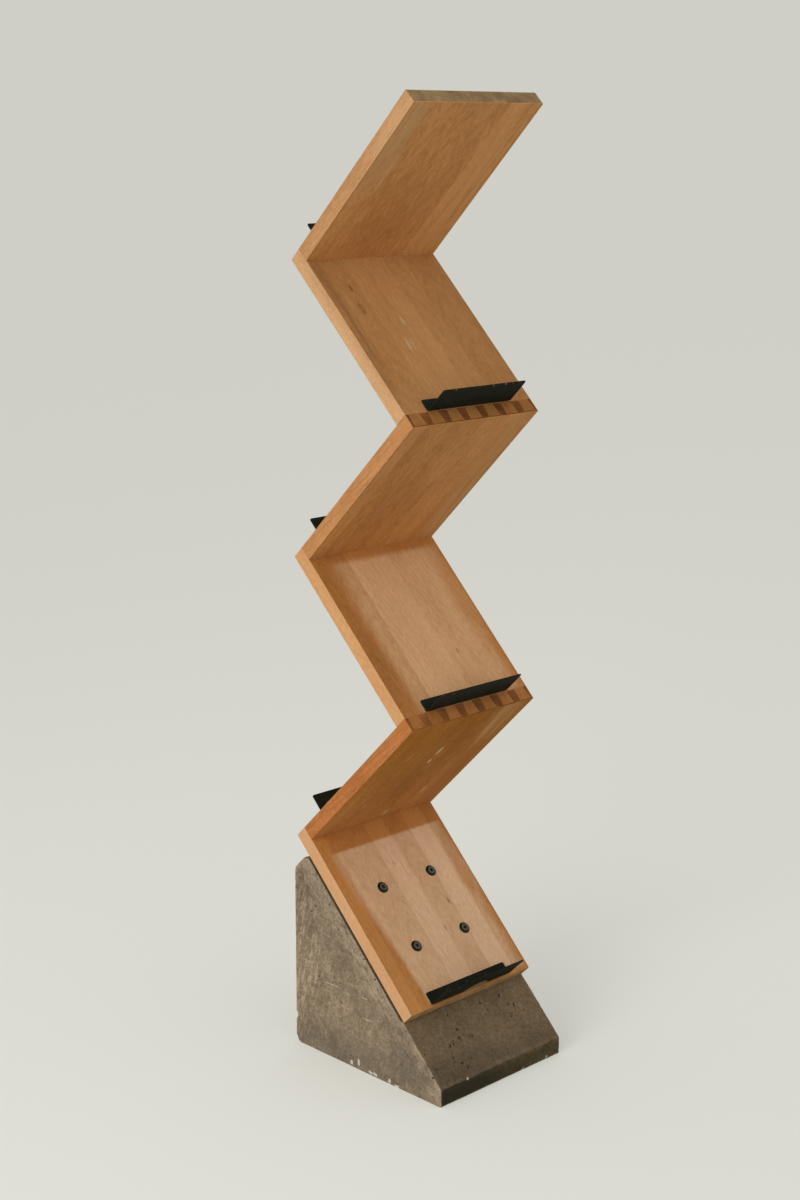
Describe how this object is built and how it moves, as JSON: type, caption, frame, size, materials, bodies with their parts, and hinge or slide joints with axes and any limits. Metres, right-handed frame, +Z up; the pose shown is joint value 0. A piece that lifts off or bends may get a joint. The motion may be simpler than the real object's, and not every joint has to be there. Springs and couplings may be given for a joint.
{
  "type": "zigzag bookshelf",
  "caption": "Free-standing zigzag bookshelf: dovetailed hardwood boards folded at right angles, each with a bent steel book stop, bolted to a cast concrete wedge base.",
  "frame": {"origin": "on the floor, under the middle of the whole object's bounding box", "axes": "+Z up, -Y towards the low front of the base, X across the width of the boards"},
  "size_m": [0.29, 0.3638, 1.5951],
  "materials": {
    "hardwood": "oiled, satin, sun-bleached on the faces",
    "concrete": "bare cast concrete, pitted, with chipped edges",
    "black_steel": "satin black, chipped along the lip",
    "bolt_steel": "black oxide, satin",
    "screw_steel": "black, satin",
    "insert_steel": "zinc plated"
  },
  "bodies": {
    "root": {"concrete_base": "concrete", "board_1": "hardwood", "board_2": "hardwood", "board_3": "hardwood", "board_4": "hardwood", "board_5": "hardwood", "board_6": "hardwood", "book_stop_1": "black_steel", "book_stop_2": "black_steel", "book_stop_3": "black_steel", "book_stop_4": "black_steel", "book_stop_5": "black_steel", "book_stop_6": "black_steel", "stop_screws": "screw_steel", "base_bolts": "bolt_steel", "base_inserts": "insert_steel"}
  },
  "joints": []
}
